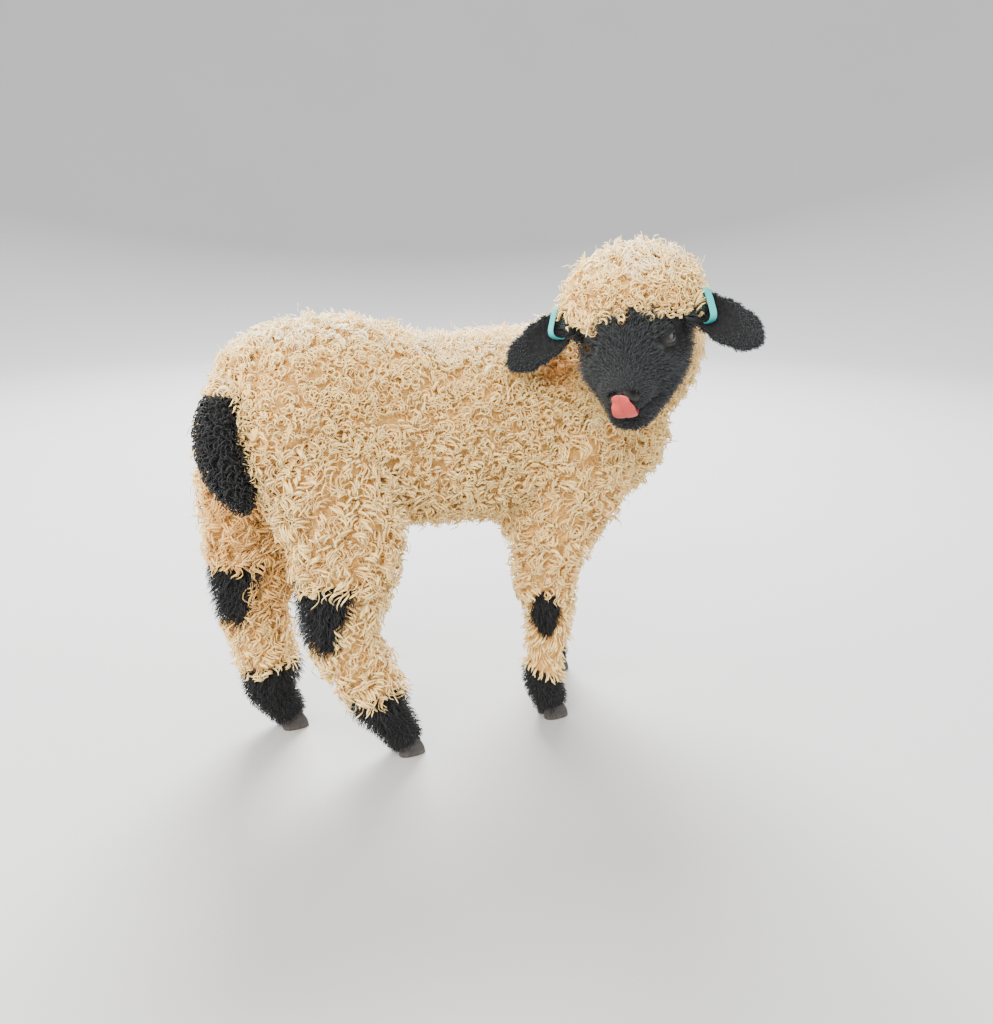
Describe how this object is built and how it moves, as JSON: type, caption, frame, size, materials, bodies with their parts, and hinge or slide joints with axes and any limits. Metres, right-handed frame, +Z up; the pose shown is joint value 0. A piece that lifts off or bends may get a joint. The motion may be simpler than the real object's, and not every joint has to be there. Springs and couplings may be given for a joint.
{
  "type": "valais blacknose lamb",
  "caption": "Life-size lamb in curly cream fleece with black face, ears, knees, hocks, feet and tail, standing with its head turned back and its tongue out.",
  "frame": {"origin": "centre of the bounding box at floor level, under the belly", "axes": "+X towards the breast along the body, +Y to the lamb's left, +Z up; the head is turned back to the lamb's right"},
  "size_m": [0.5938, 0.392, 0.5684],
  "materials": {
    "fleece": "tight cream curls, matt",
    "black_wool": "short soft black wool, matt",
    "horn": "dull dark horn of the claws",
    "eye": "wet and glossy, dark brown",
    "tongue": "moist pink",
    "ear_tag": "plain turquoise plastic, blank"
  },
  "bodies": {
    "root": {"torso": "fleece", "neck": "fleece", "topknot": "fleece", "leg_front_left": "fleece", "leg_front_right": "fleece", "leg_hind_left": "fleece", "leg_hind_right": "fleece", "head": "black_wool", "ear_left": "black_wool", "ear_right": "black_wool", "tail": "black_wool", "eye_left": "eye", "eye_right": "eye", "tongue": "tongue", "ear_tag_left": "ear_tag", "ear_tag_right": "ear_tag", "claw_front_left_inner": "horn", "claw_front_left_outer": "horn", "claw_front_right_inner": "horn", "claw_front_right_outer": "horn", "claw_hind_left_inner": "horn", "claw_hind_left_outer": "horn", "claw_hind_right_inner": "horn", "claw_hind_right_outer": "horn"}
  },
  "joints": []
}
